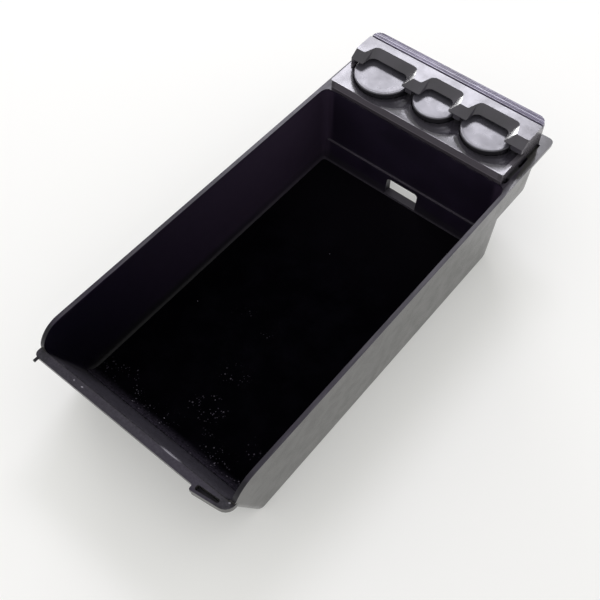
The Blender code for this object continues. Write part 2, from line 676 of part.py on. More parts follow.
def coin_housing(collection, guides):
    housing = slab("coin_housing", holder_outline(0), SKIRT_FOOT, BASE_TOP, collection)
    hollow = slab("skirt_cut", holder_outline(SKIRT_WALL), SKIRT_FOOT - OVERRUN, BASE_UNDERSIDE, guides)
    boolean(housing, hollow, "DIFFERENCE")
    joint = BASE_UNDERSIDE + OVERRUN
    for name, x, radius in zip(PLATE_NAMES, PLATE_X, CUP_RADII):
        cup = rod("cup_" + name, (x, PLATE_Y), radius, CUP_FOOT, joint, guides, ROUND_STEPS)
        boolean(housing, cup, "UNION")
    short_posts = post_places(-POST_OFFSET)
    long_posts = post_places(POST_OFFSET)
    for index, place in enumerate(short_posts + long_posts):
        boolean(housing, rod(f"post_{index}", place, POST_RADIUS, CUP_FOOT, joint, guides), "UNION")
    for wall in side_skirts(guides) + snap_hooks(guides):
        boolean(housing, wall, "UNION")
    for name, x, radius, cup in zip(PLATE_NAMES, PLATE_X, PLATE_RADII, CUP_RADII):
        bore = rod("bore_cut_" + name, (x, PLATE_Y), cup - CUP_WALL, CUP_FOOT - OVERRUN,
                   BASE_UNDERSIDE, guides, ROUND_STEPS)
        boolean(housing, bore, "DIFFERENCE")
        mouth = rod("mouth_cut_" + name, (x, PLATE_Y), radius + CLEARANCE, BASE_UNDERSIDE - OVERRUN,
                    BASE_TOP + OVERRUN, guides, ROUND_STEPS)
        boolean(housing, mouth, "DIFFERENCE")
    for name, x, radius in zip(PLATE_NAMES, CUT_X, PLATE_RADII):
        reach = max(radius + DISH_MARGIN, PLATE_ROW_SETBACK + DISH_FRONT_MARGIN)
        dish = turned("dish_cut_" + name, dish_profile(reach), (x + DISH_SHIFT, PLATE_Y), guides)
        boolean(dish, flat_rear("flat_rear_" + name, guides), "DIFFERENCE")
        boolean(housing, dish, "DIFFERENCE")
    pilots = [(place, CUP_FOOT + SCREW_BITE + CLEARANCE) for place in short_posts]
    pilots += [(place, BASE_TOP + OVERRUN) for place in long_posts]
    for index, (place, top) in enumerate(pilots):
        pilot = rod(f"pilot_cut_{index}", place, PILOT_RADIUS, CUP_FOOT - OVERRUN, top, guides)
        boolean(housing, pilot, "DIFFERENCE")
    return housing


def roof_outline(front_y, cut_back_y, mouth_inset, back_inset, shift=0):
    """Outline of the roof with its three finger cut-outs, at one height."""
    corners = [(-HOLDER_HALF_WIDTH, front_y, HOLDER_FRONT_CORNER)]
    for centre, radius in zip(CUT_X, PLATE_RADII):
        x = centre - shift
        mouth = radius - mouth_inset
        back = radius - back_inset
        corners += [(x - mouth, front_y, TAB_CORNER), (x - back, cut_back_y, CUT_CORNER),
                    (x + back, cut_back_y, CUT_CORNER), (x + mouth, front_y, TAB_CORNER)]
    corners += [(HOLDER_HALF_WIDTH, front_y, HOLDER_FRONT_CORNER),
                (HOLDER_HALF_WIDTH, HOLDER_BACK_Y, HOLDER_REAR_CORNER),
                (-HOLDER_HALF_WIDTH, HOLDER_BACK_Y, HOLDER_REAR_CORNER)]
    return rounded(corners)


def loft(name, rings, collection):
    """Solid between flat rings of as many points each, from the lowest to the highest."""
    mesh = bpy.data.meshes.new(name)
    edit = bmesh.new()
    rows = [[edit.verts.new((point.x, point.y, height)) for point in ring] for ring, height in rings]
    edit.faces.new(list(reversed(rows[0])))
    edit.faces.new(rows[-1])
    for low, high in zip(rows, rows[1:]):
        for index in range(len(low)):
            after = (index + 1) % len(low)
            edit.faces.new((low[index], low[after], high[after], high[index]))
    edit.to_mesh(mesh)
    edit.free()
    return finished(name, mesh, collection)


def coin_slot_outline(x, radius):
    """Space that a coin slides into: round at the back and straight to the front."""
    reach = radius + COIN_SIDE_GAP
    front = HOLDER_FRONT_Y
    outline = arc((x, PLATE_Y), reach, 0, 180, ROUND_STEPS // 2)
    return [Vector((x + reach, front))] + outline + [Vector((x - reach, front))]


def coin_roof(collection, guides):
    foot_y = PLATE_Y - ROOF_REACH
    top_y = foot_y + ROOF_SLOPE_RUN
    foot = roof_outline(foot_y, foot_y + CUT_DEPTH, CUT_SLOPE_SIDE_RUN, CUT_SLOPE_SIDE_RUN + CUT_SPLAY_FOOT,
                        CUT_FOOT_SHIFT)
    top = roof_outline(top_y, top_y + CUT_DEPTH, 0, CUT_SPLAY_TOP)
    rings = [(foot, ROOF_FOOT), (foot, ROOF_TOP - ROOF_SLOPE_DROP), (top, ROOF_TOP)]
    roof = loft("coin_roof", rings, collection)
    for name, x, radius in zip(PLATE_NAMES, PLATE_X, PLATE_RADII):
        space = slab("coin_space_cut_" + name, coin_slot_outline(x, radius), ROOF_FOOT - OVERRUN,
                     ROOF_UNDERSIDE, guides)
        boolean(roof, space, "DIFFERENCE")
    reach = HOLDER_HALF_WIDTH + OVERRUN
    outline = box_outline(-reach, reach, STRIP_FRONT_Y - STRIP_GROOVE, HOLDER_BACK_Y + OVERRUN)
    boolean(roof, slab("strip_ledge_cut", outline, STRIP_LEDGE, ROOF_TOP + OVERRUN, guides), "DIFFERENCE")
    for index, place in enumerate(post_places(POST_OFFSET)):
        pilot = rod(f"roof_pilot_cut_{index}", place, PILOT_RADIUS, ROOF_FOOT - OVERRUN, STRIP_LEDGE, guides)
        boolean(roof, pilot, "DIFFERENCE")
    return roof


def grip_strip(collection, guides):
    """Ribbed strip on the ledge at the back of the roof."""
    pitch = STRIP_DEPTH / RIDGE_COUNT
    profile = [Vector((STRIP_FRONT_Y, ROOF_TOP - STRIP_THICKNESS))]
    valley = ROOF_TOP - RIDGE_HEIGHT
    slope = pitch * (1 - RIDGE_TOP_SHARE) / 2
    for ridge in range(RIDGE_COUNT):
        start = STRIP_FRONT_Y + ridge * pitch
        profile += [Vector((start, valley)), Vector((start + slope, ROOF_TOP)),
                    Vector((start + pitch - slope, ROOF_TOP))]
    profile += [Vector((HOLDER_BACK_Y, valley)), Vector((HOLDER_BACK_Y, ROOF_TOP - STRIP_THICKNESS))]
    half = HOLDER_HALF_WIDTH - STRIP_SIDE_INSET
    strip = slab("grip_strip", profile[::-1], -half, half, collection, "YZ")
    outline = box_outline(-half, half, STRIP_FRONT_Y - OVERRUN, HOLDER_BACK_Y - STRIP_SIDE_INSET, 0,
                          HOLDER_REAR_CORNER - STRIP_SIDE_INSET)
    plan = slab("strip_plan", outline, STRIP_LEDGE, ROOF_TOP + OVERRUN, guides)
    boolean(strip, plan, "INTERSECT")
    return strip


def coin_plate(name, x, radius, spring_radius, collection):
    """Sprung plate under the coins: a raised edge, a flange that stops it, and a hollow for its spring."""
    hollow = spring_radius + SPRING_WIRE / 2 + CLEARANCE * 2
    centre_top = PLATE_HEIGHT - PLATE_DISHING
    edge = arc((radius - PLATE_EDGE, PLATE_HEIGHT - PLATE_EDGE), PLATE_EDGE, 90, 0, CORNER_STEPS)
    profile = [(0, centre_top), (radius - 2 * PLATE_EDGE, centre_top)]
    profile += [(point.x, point.y) for point in edge]
    profile += [(radius, FLANGE_TOP), (radius + FLANGE_REACH, FLANGE_TOP),
                (radius + FLANGE_REACH, FLANGE_FOOT), (hollow, FLANGE_FOOT),
                (hollow, PLATE_SEAT), (0, PLATE_SEAT)]
    plate = turned("coin_plate_" + name, profile, (x, PLATE_Y), collection)
    return plate


def plate_spring(name, x, radius, collection):
    """Coil spring with closed ends, between the cover's spigot and the plate."""
    foot = CUP_FOOT + SPRING_WIRE / 2
    top = PLATE_SEAT - CLEARANCE - SPRING_WIRE / 2
    closed_rise = SPRING_WIRE + CLEARANCE
    open_turns = SPRING_TURNS - 2 * SPRING_CLOSED_TURNS
    open_rise = (top - foot - 2 * SPRING_CLOSED_TURNS * closed_rise) / open_turns
    curve = bpy.data.curves.new("spring_" + name, "CURVE")
    curve.dimensions = "3D"
    curve.bevel_depth = SPRING_WIRE / 2
    curve.bevel_resolution = 1
    curve.use_fill_caps = True
    spline = curve.splines.new("POLY")
    count = SPRING_TURNS * SPRING_TURN_STEPS
    spline.points.add(count)
    for index, point in enumerate(spline.points):
        turn = index / SPRING_TURN_STEPS
        opened = min(max(turn - SPRING_CLOSED_TURNS, 0), open_turns)
        height = foot + opened * open_rise + (turn - opened) * closed_rise
        angle = 2 * math.pi * turn
        point.co = (x + radius * math.cos(angle), PLATE_Y + radius * math.sin(angle), height, 1)
    obj = bpy.data.objects.new("spring_" + name, curve)
    collection.objects.link(obj)
    return finished("spring_" + name, mesh_of(obj), collection)


def cup_cover(collection, guides):
    """Plate that closes the three cups and carries the springs on spigots."""
    left = arc((PLATE_X[0], PLATE_Y), CUP_RADII[0], 90, 270, ROUND_STEPS // 2)
    right = arc((PLATE_X[2], PLATE_Y), CUP_RADII[2], -90, 90, ROUND_STEPS // 2)
    cover = slab("cup_cover", left + right, COVER_FOOT, COVER_TOP, collection)
    for name, x, radius in zip(PLATE_NAMES, PLATE_X, SPRING_RADII):
        spigot = rod("spigot_" + name, (x, PLATE_Y), radius - SPRING_WIRE / 2 - CLEARANCE,
                     COVER_TOP - COVER_THICKNESS / 2, COVER_TOP + SPIGOT_HEIGHT, guides)
        boolean(cover, spigot, "UNION")
    for index, place in enumerate(post_places(-POST_OFFSET) + post_places(POST_OFFSET)):
        hole = rod(f"cover_hole_cut_{index}", place, PILOT_RADIUS, COVER_FOOT - OVERRUN,
                   COVER_TOP + OVERRUN, guides)
        boolean(cover, hole, "DIFFERENCE")
        seat = rod(f"head_seat_cut_{index}", place, SCREW_HEAD_RADIUS + CLEARANCE, COVER_FOOT - OVERRUN,
                   COVER_FOOT + SCREW_HEAD_HEIGHT + CLEARANCE, guides)
        boolean(cover, seat, "DIFFERENCE")
    return cover


def screw_profile(foot, tip):
    """Flat-headed self-tapping screw, head down, with rings for the thread at its tip."""
    core = SCREW_RADIUS - THREAD_DEPTH
    head_top = foot + SCREW_HEAD_HEIGHT
    rings = int((SCREW_BITE - THREAD_PITCH) / THREAD_PITCH)
    points = [(0, tip), (core / 2, tip)]
    for ring in range(rings):
        top = tip - ring * THREAD_PITCH
        points += [(core, top - THREAD_PITCH / 4), (SCREW_RADIUS, top - THREAD_PITCH / 2),
                   (core, top - 3 * THREAD_PITCH / 4)]
    points.append((SCREW_RADIUS, tip - (rings + 1) * THREAD_PITCH))
    return points + [(SCREW_RADIUS, head_top), (SCREW_HEAD_RADIUS, head_top), (SCREW_HEAD_RADIUS, foot),
                     (0, foot)]


def screws(kind, tip, places, collection):
    """The left and the right screw of a pair, through the cover and into their posts."""
    pair = []
    for side, place in zip(("left", "right"), places):
        pair.append(turned(f"{kind}_{side}", screw_profile(COVER_FOOT, tip), place, collection, SCREW_STEPS))
    return pair


def build():
    clear_scene()
    collection = new_collection("car_console_tray")
    guides = new_collection("cutters")
    shell = tray_shell(collection, guides)
    mat = floor_mat(collection)
    housing = coin_housing(collection, guides)
    roof = coin_roof(collection, guides)
    strip = grip_strip(collection, guides)
    cover = cup_cover(collection, guides)
    black = plastic("black_plastic", (0.014, 0.013, 0.016), 0.42)
    for obj in (shell, housing, cover):
        obj.data.materials.append(black)
    mat.data.materials.append(plastic("black_mat", (0.003, 0.003, 0.004), 0.9))
    roof.data.materials.append(plastic("roof_plastic", (0.02, 0.019, 0.023), 0.38))
    strip.data.materials.append(plastic("strip_rubber", (0.03, 0.028, 0.034), 0.6))
    plate_plastic = plastic("plate_plastic", (0.03, 0.03, 0.035), 0.4)
    spring_steel = plastic("spring_steel", (0.5, 0.5, 0.52), 0.3, 1.0)
    for name, x, radius, spring_radius in zip(PLATE_NAMES, PLATE_X, PLATE_RADII, SPRING_RADII):
        plate = coin_plate(name, x, radius, spring_radius, collection)
        plate.data.materials.append(plate_plastic)
        spring = plate_spring(name, x, spring_radius, collection)
        spring.data.materials.append(spring_steel)
    zinc = plastic("zinc_screw", (0.42, 0.42, 0.43), 0.35, 1.0)
    short = screws("cover_screw", CUP_FOOT + SCREW_BITE, post_places(-POST_OFFSET), collection)
    long = screws("roof_screw", STRIP_LEDGE - CLEARANCE, post_places(POST_OFFSET), collection)
    for obj in short + long:
        obj.data.materials.append(zinc)


build()
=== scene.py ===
import math

import bmesh
import bpy
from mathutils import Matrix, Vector


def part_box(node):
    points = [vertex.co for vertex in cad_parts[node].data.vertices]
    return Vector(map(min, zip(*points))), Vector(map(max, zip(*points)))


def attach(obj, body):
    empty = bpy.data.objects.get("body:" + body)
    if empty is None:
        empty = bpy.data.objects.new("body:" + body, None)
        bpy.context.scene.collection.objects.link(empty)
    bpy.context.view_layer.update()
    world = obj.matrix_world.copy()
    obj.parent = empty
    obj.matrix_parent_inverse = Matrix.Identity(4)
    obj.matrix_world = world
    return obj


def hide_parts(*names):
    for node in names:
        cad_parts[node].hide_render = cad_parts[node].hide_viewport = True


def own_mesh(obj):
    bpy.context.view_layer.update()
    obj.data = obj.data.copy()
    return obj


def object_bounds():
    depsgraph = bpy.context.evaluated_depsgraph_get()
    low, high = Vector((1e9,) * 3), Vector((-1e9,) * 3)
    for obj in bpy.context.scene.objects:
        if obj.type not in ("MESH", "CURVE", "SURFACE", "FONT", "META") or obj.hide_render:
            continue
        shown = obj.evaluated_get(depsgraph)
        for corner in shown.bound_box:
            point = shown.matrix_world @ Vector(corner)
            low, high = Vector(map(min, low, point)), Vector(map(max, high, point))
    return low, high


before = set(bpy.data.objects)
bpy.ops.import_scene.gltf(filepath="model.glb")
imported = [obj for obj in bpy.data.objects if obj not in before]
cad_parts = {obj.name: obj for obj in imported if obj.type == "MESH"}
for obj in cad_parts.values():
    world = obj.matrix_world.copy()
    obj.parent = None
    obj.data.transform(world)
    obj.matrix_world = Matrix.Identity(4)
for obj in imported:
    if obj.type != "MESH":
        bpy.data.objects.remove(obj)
frame_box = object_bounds()
MM = 0.001

# Tray shell
# One black ABS moulding: the bin, its turned-out front lip and the deck round the coin holder. It has a
# fine satin grain inside and smoother faces outside, the outer faces and deck painted a paler black as
# painted light. The lip and the ramp under it are dusty and scuffed; painted shade and painted highlights
# lie inside.
SHELL_EDGE = 0.35 * MM
EDGE_STEPS = 3
EDGE_ANGLE = 32  # degrees, above which an edge is rounded
FLAT_ANGLE = 0.3  # degrees, below which two faces are one
MERGE = 0.004 * MM


def welded_copy(node, name):
    """The moulding's own shape as a new piece, with its seams merged and its flat faces whole."""
    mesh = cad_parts[node].data.copy()
    mesh.name = name
    mesh.materials.clear()
    edit = bmesh.new()
    edit.from_mesh(mesh)
    bmesh.ops.remove_doubles(edit, verts=edit.verts, dist=MERGE)
    bmesh.ops.dissolve_limit(edit, angle_limit=math.radians(FLAT_ANGLE), verts=edit.verts,
                             edges=edit.edges)
    bmesh.ops.recalc_face_normals(edit, faces=edit.faces)
    edit.to_mesh(mesh)
    edit.free()
    piece = bpy.data.objects.new(name, mesh)
    bpy.context.scene.collection.objects.link(piece)
    return piece


def soften_edges(piece, radius, angle=EDGE_ANGLE):
    """Round the sharp edges as a mould does, and shade the round faces smooth."""
    bevel = piece.modifiers.new("moulded edges", "BEVEL")
    bevel.width = radius
    bevel.segments = EDGE_STEPS
    bevel.limit_method = "ANGLE"
    bevel.angle_limit = math.radians(angle)
    bevel.use_clamp_overlap = True
    bevel.harden_normals = True
    piece.data.shade_smooth()
    normals = piece.modifiers.new("flat faces stay flat", "WEIGHTED_NORMAL")
    normals.keep_sharp = False
    normals.weight = 80


shell = welded_copy("tray_shell", "tray_moulding")
soften_edges(shell, SHELL_EDGE)
REFRACTION = 1.5


def new_material(name, colour, roughness, metallic=0.0, gloss=0.5):
    """A material, its node tree and its shader, with what is the same all over set on the shader."""
    material = bpy.data.materials.new(name)
    material.use_nodes = True
    tree = material.node_tree
    shader = tree.nodes["Principled BSDF"]
    shader.inputs["Base Color"].default_value = (*colour, 1)
    shader.inputs["Roughness"].default_value = roughness
    shader.inputs["Metallic"].default_value = metallic
    shader.inputs["IOR"].default_value = REFRACTION
    shader.inputs["Specular IOR Level"].default_value = gloss
    return material, tree, shader


def place_on(tree, stretch=(1, 1, 1)):
    """The piece's own coordinates in metres, stretched along each axis."""
    coordinates = tree.nodes.new("ShaderNodeTexCoord")
    mapping = tree.nodes.new("ShaderNodeMapping")
    mapping.inputs["Scale"].default_value = stretch
    tree.links.new(coordinates.outputs["Object"], mapping.inputs["Vector"])
    return mapping.outputs["Vector"]


def noise(tree, vector, scale, detail, roughness, distortion=0.0):
    """Cloudy pattern from 0 to 1, with about so many clouds to the metre as its scale says."""
    texture = tree.nodes.new("ShaderNodeTexNoise")
    texture.inputs["Scale"].default_value = scale
    texture.inputs["Detail"].default_value = detail
    texture.inputs["Roughness"].default_value = roughness
    texture.inputs["Distortion"].default_value = distortion
    tree.links.new(vector, texture.inputs["Vector"])
    return texture.outputs["Fac"]


def ramp(tree, value, low, high, low_out=0.0, high_out=1.0):
    """Value between low and high, spread from low_out to high_out and held there."""
    node = tree.nodes.new("ShaderNodeMapRange")
    node.interpolation_type = "SMOOTHSTEP"
    node.inputs["From Min"].default_value = low
    node.inputs["From Max"].default_value = high
    node.inputs["To Min"].default_value = low_out
    node.inputs["To Max"].default_value = high_out
    tree.links.new(value, node.inputs["Value"])
    return node.outputs["Result"]


def math_of(tree, operation, first, second):
    """A sum, product or other pairing of two sockets, or of a socket and a number."""
    node = tree.nodes.new("ShaderNodeMath")
    node.operation = operation
    for place, value in enumerate((first, second)):
        if isinstance(value, (int, float)):
            node.inputs[place].default_value = value
        else:
            tree.links.new(value, node.inputs[place])
    return node.outputs["Value"]


def mixed(tree, share, first, second):
    """Colour between two, each a socket or a plain colour."""
    node = tree.nodes.new("ShaderNodeMix")
    node.data_type = "RGBA"
    tree.links.new(share, node.inputs["Factor"])
    for socket, value in ((node.inputs["A"], first), (node.inputs["B"], second)):
        if isinstance(value, tuple):
            socket.default_value = (*value, 1)
        else:
            tree.links.new(value, socket)
    return node.outputs["Result"]


def bumped(tree, shader, height, strength, depth):
    """Fine relief from a pattern, as strong and as deep as given."""
    node = tree.nodes.new("ShaderNodeBump")
    node.inputs["Strength"].default_value = strength
    node.inputs["Distance"].default_value = depth
    tree.links.new(height, node.inputs["Height"])
    tree.links.new(node.outputs["Normal"], shader.inputs["Normal"])


def axis_place(tree, vector, axis):
    """The place along one axis, in metres."""
    node = tree.nodes.new("ShaderNodeSeparateXYZ")
    tree.links.new(vector, node.inputs["Vector"])
    return node.outputs[axis]


def specks(tree, vector, spacing, size_share, kept_share):
    """Small round specks of dust: the cells of a cell pattern that a random draw keeps."""
    cells = tree.nodes.new("ShaderNodeTexVoronoi")
    cells.inputs["Scale"].default_value = 1 / spacing
    cells.inputs["Randomness"].default_value = 1.0
    tree.links.new(vector, cells.inputs["Vector"])
    dots = ramp(tree, cells.outputs["Distance"], size_share * 0.6, size_share, 1.0, 0.0)
    draw = tree.nodes.new("ShaderNodeSeparateColor")
    tree.links.new(cells.outputs["Color"], draw.inputs["Color"])
    kept = math_of(tree, "LESS_THAN", draw.outputs["Red"], kept_share)
    return math_of(tree, "MULTIPLY", dots, kept)


LIGHTER = 1.5  # the palest patches of a moulding, against its colour
FLOW_SCALE = 55
SHEEN_SCALE = 130
SHEEN_LOW, SHEEN_HIGH = -0.03, 0.05  # of the roughness, round its mean
GRAIN_DEPTH = 0.05 * MM


def grained_plastic(name, colour, roughness, grain=0.45 * MM, relief=0.10, gloss=0.5):
    """Moulded black plastic: spark-eroded grain, faint flow mottling and uneven sheen."""
    material, tree, shader = new_material(name, colour, roughness, gloss=gloss)
    vector = place_on(tree)
    flow = noise(tree, vector, FLOW_SCALE, 4, 0.6)
    lighter = tuple(channel * LIGHTER for channel in colour)
    tone = mixed(tree, ramp(tree, flow, 0.35, 0.7), colour, lighter)
    tree.links.new(tone, shader.inputs["Base Color"])
    sheen = noise(tree, vector, SHEEN_SCALE, 3, 0.6)
    sheen = ramp(tree, sheen, 0.3, 0.7, roughness + SHEEN_LOW, roughness + SHEEN_HIGH)
    tree.links.new(sheen, shader.inputs["Roughness"])
    bumped(tree, shader, noise(tree, vector, 1 / grain, 2, 0.6), relief, GRAIN_DEPTH)
    return material, tree, shader, vector, tone


def mark(tree, vector, start, end, half_width):
    """A soft oval mark on the surface from one place to another."""
    along = Vector(end) - Vector(start)
    mapping = tree.nodes.new("ShaderNodeMapping")
    mapping.vector_type = "TEXTURE"
    mapping.inputs["Location"].default_value = (Vector(start) + Vector(end)) / 2
    mapping.inputs["Rotation"].default_value = along.to_track_quat("X", "Z").to_euler()
    mapping.inputs["Scale"].default_value = (along.length / 2, half_width, half_width)
    tree.links.new(vector, mapping.inputs["Vector"])
    length = tree.nodes.new("ShaderNodeVectorMath")
    length.operation = "LENGTH"
    tree.links.new(mapping.outputs["Vector"], length.inputs[0])
    return ramp(tree, length.outputs["Value"], 0.4, 1.0, 1.0, 0.0)


def product(tree, *values):
    """All values multiplied."""
    result = values[0]
    for value in values[1:]:
        result = math_of(tree, "MULTIPLY", result, value)
    return result


SHELL_BLACK = (0.0105, 0.0072, 0.0165)
SIDE_FRONT_SHADE_BLACK = (0.0028, 0.0018, 0.0068)
SIDE_REAR_LIT_BLACK = (0.0320, 0.0220, 0.0420)
PAINTED_SHADE_BLACK = (0.0020, 0.0016, 0.0034)
RAMP_DUST = (0.042, 0.037, 0.054)
LIP_DUST = (0.046, 0.041, 0.057)
RIM_GREY = (0.075, 0.068, 0.084)
LEDGE_HIGHLIGHT_GREY = (0.060, 0.052, 0.070)
SPECK_GREY = (0.20, 0.20, 0.22)
PALE_MARK_GREY = (0.26, 0.25, 0.29)
LIP_DEPTH = 5.5 * MM
LIP_TOP = 34 * MM
RAMP_RUN = 21 * MM  # from the lip's front to the foot of the ramp
LEDGE_HEIGHT = 13.2 * MM  # of the step in the rear wall
WALL_INSIDE = 42.5 * MM  # from the middle to a side wall's inner face
WALL_BACK_INSET = 40 * MM  # from the tray's rear end to the bin's rear wall
BLEND = 2 * MM
MOTTLE_SCALE = 1150
DRIFT_SCALE = 240
DUST_DRIFT = 8 * MM
DUST_LOW, DUST_HIGH = 5 * MM, 20 * MM  # heights between which the ramp goes from painted shade to dust
SHADE_FADE_START, SHADE_FADE_END = 45 * MM, 150 * MM  # behind the lip, where the painted shade at the walls' foot fades
FOOT_LOW, FOOT_HIGH = 3 * MM, 8 * MM
DULL_FOOT = 0.30  # added to the roughness of the ramp and of the walls' foot

shell_plastic, tree, shader, vector, tone = grained_plastic("tray_plastic", SHELL_BLACK, 0.36)
rim_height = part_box("tray_shell")[1][2]
lip_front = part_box("tray_shell")[0][1]
lip_back = lip_front + LIP_DEPTH
ramp_foot = lip_front + RAMP_RUN
height = axis_place(tree, vector, "Z")
depth = axis_place(tree, vector, "Y")
across = math_of(tree, "ABSOLUTE", axis_place(tree, vector, "X"), 0)
mottle = ramp(tree, noise(tree, vector, MOTTLE_SCALE, 4, 0.75), 0.36, 0.66)

# Painted shade and light: the inner side walls are painted darker at the front and paler towards the rear.
under_rim = ramp(tree, height, rim_height - 1.2 * MM, rim_height - 0.4 * MM, 1.0, 0.0)
side_wall = product(tree, ramp(tree, across, WALL_INSIDE - BLEND, WALL_INSIDE), under_rim)
rearward = ramp(tree, depth, lip_back, frame_box[1][1] - WALL_BACK_INSET)
tone = mixed(tree, side_wall, tone, mixed(tree, rearward, SIDE_FRONT_SHADE_BLACK, SIDE_REAR_LIT_BLACK))
# Painted shade: the inner faces are painted near-black from the floor up to 3 to 8 mm, less so towards the
# rear.
foot = ramp(tree, height, FOOT_LOW, FOOT_HIGH, 1.0, 0.0)
rear_shade_fade = ramp(tree, depth, lip_back + SHADE_FADE_START, lip_back + SHADE_FADE_END, 1.0, 0.30)
tone = mixed(tree, product(tree, foot, rear_shade_fade), tone, PAINTED_SHADE_BLACK)

# Painted shade: the ramp under the lip is painted near-black. Dust lies over it and thins out downwards,
# so the ramp's darkening towards its foot is partly dust and partly painted shade.
between_walls = ramp(tree, across, WALL_INSIDE, WALL_INSIDE + BLEND, 1.0, 0.0)
past_lip = ramp(tree, depth, lip_back - 0.6 * MM, lip_back + 0.4 * MM)
before_foot = ramp(tree, depth, ramp_foot - BLEND, ramp_foot, 1.0, 0.0)
on_ramp = product(tree, past_lip, before_foot, between_walls)
tone = mixed(tree, on_ramp, tone, PAINTED_SHADE_BLACK)
drift = math_of(tree, "MULTIPLY", noise(tree, vector, DRIFT_SCALE, 3, 0.7), DUST_DRIFT)
dust_line = ramp(tree, math_of(tree, "ADD", height, drift), DUST_LOW, DUST_HIGH)
ramp_mottle = ramp(tree, mottle, 0, 1, 0.35, 1.0)
tone = mixed(tree, product(tree, on_ramp, dust_line, ramp_mottle), tone, RAMP_DUST)

near_lip_top = ramp(tree, height, LIP_TOP - 4 * MM, LIP_TOP - 1 * MM)
on_lip = product(tree, math_of(tree, "SUBTRACT", 1.0, past_lip), near_lip_top)
front_edge = ramp(tree, depth, lip_front, lip_front + 4 * MM, 0.35, 1.0)
tone = mixed(tree, product(tree, on_lip, mottle, front_edge, 0.6), tone, LIP_DUST)

# Painted highlights: pale lines along the edge of the rear wall's step and along the rear wall's foot.
rear_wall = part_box("floor_mat")[1][1] - 0.6 * MM
by_rear = product(tree, ramp(tree, depth, rear_wall, rear_wall + 0.3 * MM), between_walls)
on_ledge = product(tree, ramp(tree, height, LEDGE_HEIGHT - 0.5 * MM, LEDGE_HEIGHT - 0.2 * MM),
                   ramp(tree, height, LEDGE_HEIGHT + 0.1 * MM, LEDGE_HEIGHT + 0.4 * MM, 1.0, 0.0))
foot_highlight = ramp(tree, height, 1.8 * MM, 2.5 * MM, 0.6, 0.0)
tone = mixed(tree, product(tree, by_rear, on_ledge), tone, LEDGE_HIGHLIGHT_GREY)
tone = mixed(tree, product(tree, by_rear, foot_highlight), tone, LEDGE_HIGHLIGHT_GREY)

RUB_SCALE = 420
near_rim = ramp(tree, height, rim_height - 0.9 * MM, rim_height - 0.1 * MM)
rubbed = ramp(tree, noise(tree, place_on(tree, (1, 0.12, 1)), RUB_SCALE, 3, 0.7), 0.46, 0.62)
tone = mixed(tree, product(tree, near_rim, rubbed, 0.35), tone, RIM_GREY)
tone = mixed(tree, specks(tree, vector, 5.5 * MM, 0.035, 0.16), tone, SPECK_GREY)
# Pale marks on the lip: four small scuffs, and a long pale streak along the crease where the lip meets the
# ramp.
pale_marks = [((12.4, -98.1, 33.9), (25.0, -97.9, 33.9), 0.70),
          ((45.1, -98.6, 34.0), (46.1, -98.2, 34.0), 0.45),
          ((-36.9, -97.4, 32.6), (-36.2, -97.3, 32.6), 0.45),
          ((-28.6, -99.5, 34.0), (-27.8, -99.5, 34.0), 0.35),
          ((-24.5, -99.8, 34.0), (-23.3, -99.4, 34.0), 0.35)]  # start, end and half width in mm
for start, end, half_width in pale_marks:
    start, end = (Vector(place) * MM for place in (start, end))
    tone = mixed(tree, mark(tree, vector, start, end, half_width * MM), tone, PALE_MARK_GREY)
tree.links.new(tone, shader.inputs["Base Color"])
satin = shader.inputs["Roughness"].links[0].from_socket
dull = product(tree, math_of(tree, "MAXIMUM", on_ramp, foot), DULL_FOOT)
tree.links.new(math_of(tree, "ADD", satin, dull), shader.inputs["Roughness"])

# The outer faces and the deck get a smoother, glossier copy of the plastic, painted a paler black than the
# inside as painted light for their sheen.
OUTER_PAINTED_SHEEN_BLACK = (0.030, 0.029, 0.027)
LOW_WEAR_GREY = (0.075, 0.073, 0.070)
WEAR_HEIGHT = 5 * MM
WEAR_SCALE = 700
outer_plastic, tree, shader, vector, tone = grained_plastic("tray_plastic_outer", OUTER_PAINTED_SHEEN_BLACK, 0.22,
                                                            0.30 * MM, 0.03, 0.7)
low_wear = ramp(tree, axis_place(tree, vector, "Z"), 0, WEAR_HEIGHT, 1.0, 0.0)
rubs = ramp(tree, noise(tree, place_on(tree, (0.2, 0.2, 1)), WEAR_SCALE, 3, 0.7), 0.55, 0.70)
tone = mixed(tree, product(tree, low_wear, rubs, 0.5), tone, LOW_WEAR_GREY)
tree.links.new(tone, shader.inputs["Base Color"])
STEEP, LEVEL = 0.3, 0.9  # upward shares of a face's normal
middle = (Vector(frame_box[0]) + Vector(frame_box[1])) / 2
deck_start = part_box("coin_housing")[0][1]
for face in shell.data.polygons:
    outward = face.center - middle
    outward.z = 0
    outside = face.normal.z < STEEP and face.normal.dot(outward) > 0
    on_deck = face.normal.z > LEVEL and face.center.y > deck_start
    face.material_index = 1 if outside or on_deck else 0
shell.data.materials.append(shell_plastic)
shell.data.materials.append(outer_plastic)
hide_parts("tray_shell")
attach(shell, "tray")

# Floor mat
# A thin die-cut mat of deep black flocked rubber that lies loose on the bin's floor, its front edge pushed
# up the cove. Its short fibres swallow the light, and lint gathers on them, most of it towards the front.
MAT_THICKNESS = 0.7 * MM
MAT_CORNER = 3.0 * MM
MAT_BACK_CORNER = 1.8 * MM
MAT_EDGE = 0.33 * MM
COVE_START = 0.3 * MM  # of the turn, in front of the flat solid's end
COVE_RADIUS = 6.35 * MM  # of the mat's upper face, where it turns up
COVE_TURN = 68  # degrees, from the floor to the front ramp
MAT_ON_RAMP = 2.6 * MM
MAT_ROWS = 60
MAT_COLUMNS = 28
CUT_ANGLE = 50  # degrees, above which the mat's edge is rounded

